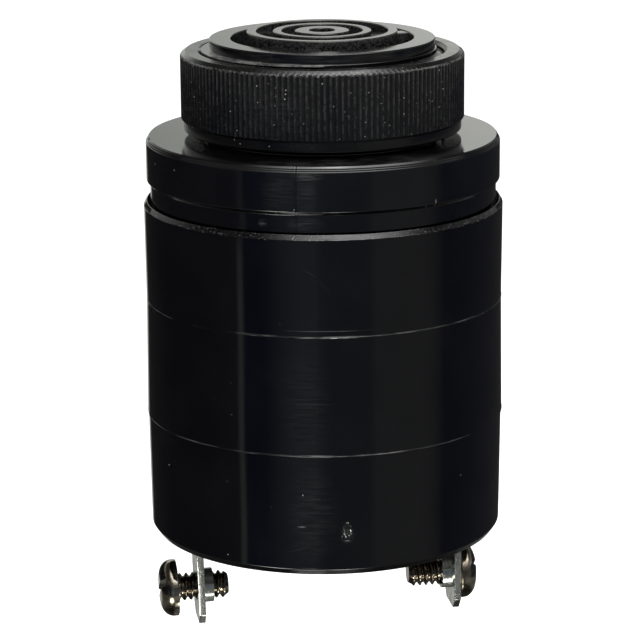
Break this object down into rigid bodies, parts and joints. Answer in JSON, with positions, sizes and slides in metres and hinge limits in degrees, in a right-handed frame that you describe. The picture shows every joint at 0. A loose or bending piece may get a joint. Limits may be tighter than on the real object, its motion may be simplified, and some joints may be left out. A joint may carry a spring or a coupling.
{
  "type": "piezo buzzer",
  "caption": "Panel-mount piezo buzzer: round black case with a ring grille, a knurled mounting ring on a threaded neck, and screw terminals at the back.",
  "frame": {"origin": "centre of the flange's top face, where the panel seats round the neck", "axes": "+Z along the axis, towards the grille; +X through the right-hand terminal"},
  "size_m": [0.0432, 0.0432, 0.0727],
  "materials": {
    "housing_plastic": "glossy moulded black",
    "ring_plastic": "semi-gloss moulded black",
    "sealant": "cast black epoxy",
    "blade_plate": "satin tin plate",
    "screw_plate": "bright nickel plate",
    "seat_rubber": "soft silicone",
    "diaphragm_brass": "rolled",
    "ceramic": "fired ceramic with a silvered face",
    "keeper_plastic": "moulded",
    "board_laminate": "paper-phenolic laminate",
    "transistor_body": "moulded epoxy",
    "resistor_body": "lacquered",
    "diode_body": "moulded epoxy",
    "capacitor_sleeve": "shrunk sleeve",
    "capacitor_bead": "dipped resin",
    "wire_red": "PVC insulation",
    "wire_blue": "PVC insulation",
    "wire_black": "PVC insulation",
    "solder": "bright tin solder"
  },
  "bodies": {
    "housing": {"front_housing": "housing_plastic", "rear_case": "housing_plastic", "end_sealant": "sealant", "terminal_left": "blade_plate", "terminal_right": "blade_plate", "diaphragm_seat": "seat_rubber", "brass_diaphragm": "diaphragm_brass", "ceramic_disc": "ceramic", "diaphragm_keeper": "keeper_plastic", "circuit_board": "board_laminate", "driver_transistor": "transistor_body", "resistors": "resistor_body", "protection_diode": "diode_body", "supply_capacitor": "capacitor_sleeve", "ceramic_capacitor": "capacitor_bead", "drive_wire": "wire_red", "feedback_wire": "wire_blue", "ground_wire": "wire_black", "solder_joints": "solder"},
    "ring": {"mounting_ring": "ring_plastic"},
    "screw_left": {"terminal_screw_left": "screw_plate"},
    "screw_right": {"terminal_screw_right": "screw_plate"}
  },
  "joints": [
    {"name": "ring_travel", "type": "slide", "parent": "housing", "child": "ring", "axis": [0, 0, 1], "range_m": [-0.00066, 0.0123]},
    {"name": "left_screw_travel", "type": "slide", "parent": "housing", "child": "screw_left", "axis": [-0.9997, 0, -0.0262], "range_m": [-0.00231, 0.0039]},
    {"name": "right_screw_travel", "type": "slide", "parent": "housing", "child": "screw_right", "axis": [1, 0, 0], "range_m": [-0.00007, 0.0061]}
  ]
}
